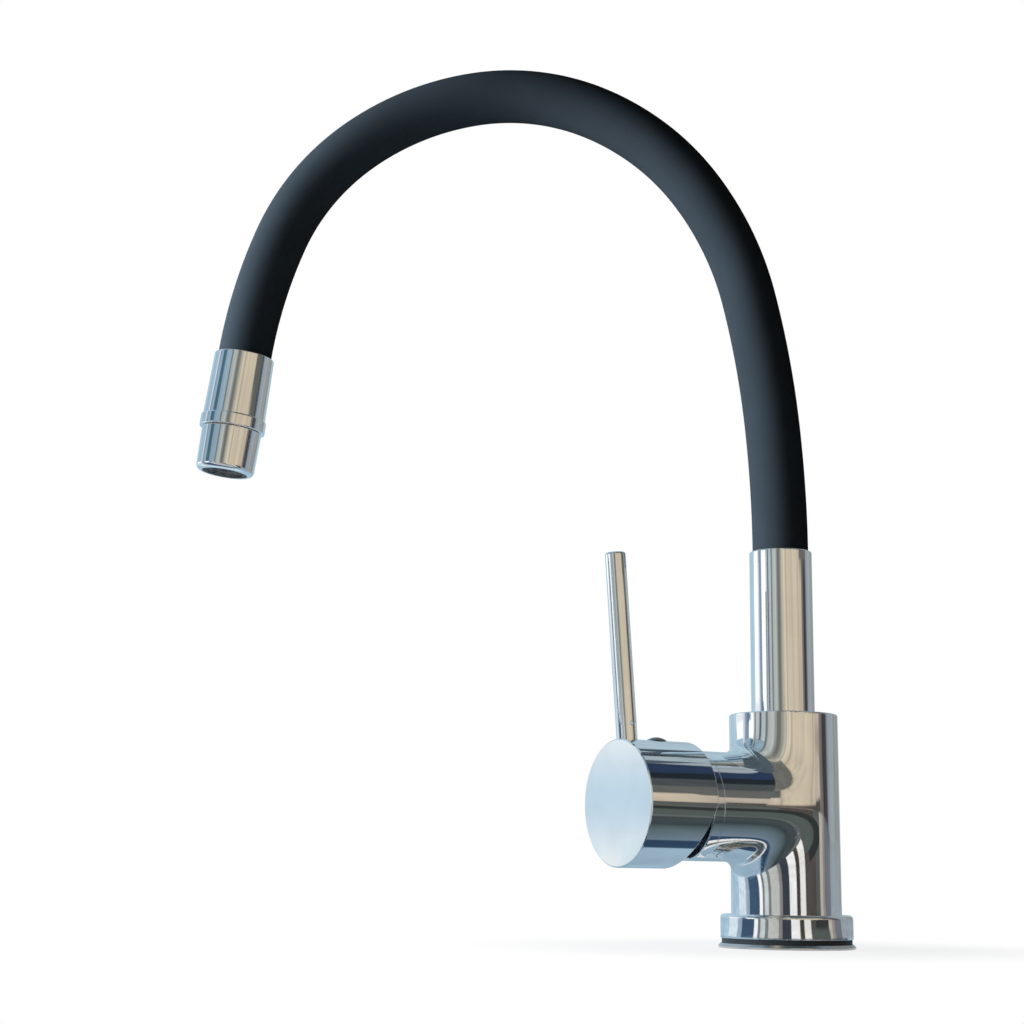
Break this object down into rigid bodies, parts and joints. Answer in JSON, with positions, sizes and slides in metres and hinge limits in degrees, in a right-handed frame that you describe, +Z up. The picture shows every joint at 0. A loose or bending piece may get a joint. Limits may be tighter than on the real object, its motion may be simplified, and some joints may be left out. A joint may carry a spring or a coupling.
{
  "type": "flexible kitchen faucet",
  "caption": "Single-lever kitchen faucet with a bendable black silicone spout, chromed tee body with a side dial, and a swivelling riser.",
  "frame": {"origin": "centre of the deck plate's underside, on the riser's axis, where the faucet stands on the deck", "axes": "+Z up, the spout reaches towards -X, and the dial points off to its near side, towards -X and -Y"},
  "size_m": [0.3019, 0.0993, 0.413],
  "materials": {
    "polished_chrome": "mirror-polished chrome plating on brass",
    "stainless_steel": "satin stainless steel",
    "brass": "machined brass",
    "black_silicone": "smooth matte black silicone",
    "seal_rubber": "black rubber",
    "hose_rubber": "pale flexible hose",
    "acetal": "moulded plastic",
    "white_plastic": "moulded white plastic",
    "dark_plastic": "dark grey plastic",
    "ceramic_disc": "lapped alumina ceramic"
  },
  "bodies": {
    "faucet": {"deck_plate": "stainless_steel", "deck_gasket": "seal_rubber", "base_ring": "polished_chrome", "faucet_body": "polished_chrome", "cartridge_base": "acetal", "port_seals": "seal_rubber", "fixed_ceramic_disc": "ceramic_disc", "cartridge_housing": "acetal", "cartridge_nut": "brass", "trim_ring": "polished_chrome", "glide_ring": "white_plastic"},
    "riser": {"riser_tube": "polished_chrome", "swivel_o_rings": "seal_rubber", "swivel_clip": "acetal", "riser_gooseneck_bush": "brass", "riser_hose_crimp": "stainless_steel", "riser_hose_tail": "brass", "riser_tail_o_ring": "seal_rubber", "gooseneck_link_1": "stainless_steel", "silicone_sleeve": "black_silicone", "water_hose": "hose_rubber"},
    "link_2": {"gooseneck_link_2": "stainless_steel"},
    "link_3": {"gooseneck_link_3": "stainless_steel"},
    "link_4": {"gooseneck_link_4": "stainless_steel"},
    "link_5": {"gooseneck_link_5": "stainless_steel"},
    "link_6": {"gooseneck_link_6": "stainless_steel"},
    "link_7": {"gooseneck_link_7": "stainless_steel"},
    "outlet": {"gooseneck_link_8": "stainless_steel", "outlet_gooseneck_bush": "brass", "outlet_hose_crimp": "stainless_steel", "outlet_hose_tail": "brass", "outlet_tail_o_ring": "seal_rubber", "outlet_socket": "polished_chrome", "outlet_adaptor": "brass", "aerator_housing": "polished_chrome", "aerator_seal": "seal_rubber", "aerator_insert": "white_plastic", "flow_regulator": "white_plastic", "aerator_mesh": "stainless_steel"},
    "carrier": {"stem_carrier": "acetal", "pivot_pin": "stainless_steel"},
    "disc": {"disc_driver": "acetal", "moving_ceramic_disc": "ceramic_disc"},
    "handle": {"cartridge_stem": "brass", "dial": "polished_chrome", "dial_screw": "stainless_steel", "screw_cap": "dark_plastic", "lever_rod": "polished_chrome"}
  },
  "joints": [
    {"name": "spout_swivel", "type": "hinge", "parent": "faucet", "child": "riser", "pos_m": [0, 0, 0.1014], "axis": [0, 0, 1], "continuous": true},
    {"name": "spout_bend_1", "type": "hinge", "parent": "riser", "child": "link_2", "pos_m": [-0.00293, 0, 0.23617], "axis": [0, -1, 0], "range_deg": [-12, 12], "deforming": ["silicone_sleeve", "water_hose"]},
    {"name": "spout_side_bend_2", "type": "hinge", "parent": "link_2", "child": "link_3", "pos_m": [-0.01274, 0, 0.29639], "axis": [0.9744, 0, 0.225], "range_deg": [-15, 15], "deforming": ["silicone_sleeve", "water_hose"]},
    {"name": "spout_bend_3", "type": "hinge", "parent": "link_3", "child": "link_4", "pos_m": [-0.03766, 0, 0.35171], "axis": [0, -1, 0], "range_deg": [-15, 12], "deforming": ["silicone_sleeve", "water_hose"]},
    {"name": "spout_bend_4", "type": "hinge", "parent": "link_4", "child": "link_5", "pos_m": [-0.08401, 0, 0.39044], "axis": [0, -1, 0], "range_deg": [-15, 10], "deforming": ["silicone_sleeve", "water_hose"]},
    {"name": "spout_bend_5", "type": "hinge", "parent": "link_5", "child": "link_6", "pos_m": [-0.14355, 0, 0.39933], "axis": [0, -1, 0], "range_deg": [-15, 10], "deforming": ["silicone_sleeve", "water_hose"]},
    {"name": "spout_side_bend_6", "type": "hinge", "parent": "link_6", "child": "link_7", "pos_m": [-0.1995, 0, 0.37644], "axis": [-0.5913, 0, 0.8064], "range_deg": [-15, 15], "deforming": ["silicone_sleeve", "water_hose"]},
    {"name": "spout_bend_7", "type": "hinge", "parent": "link_7", "child": "outlet", "pos_m": [-0.2364, 0, 0.32879], "axis": [0, -1, 0], "range_deg": [-15, 15], "deforming": ["silicone_sleeve", "water_hose"]},
    {"name": "handle_turn", "type": "hinge", "parent": "faucet", "child": "carrier", "pos_m": [0, 0, 0.06], "axis": [-0.8406, -0.5417, 0], "range_deg": [-45, 45]},
    {"name": "handle_tilt", "type": "hinge", "parent": "carrier", "child": "handle", "pos_m": [-0.0303, -0.01953, 0.06], "axis": [0.5417, -0.8406, 0], "range_deg": [0, 20]},
    {"name": "disc_slide", "type": "slide", "parent": "carrier", "child": "disc", "axis": [0, 0, 1], "range_m": [0, 0.0039]}
  ],
  "couplings": [
    {"joint": "disc_slide", "follows": "handle_tilt", "m_per_rad": 0.010778}
  ]
}
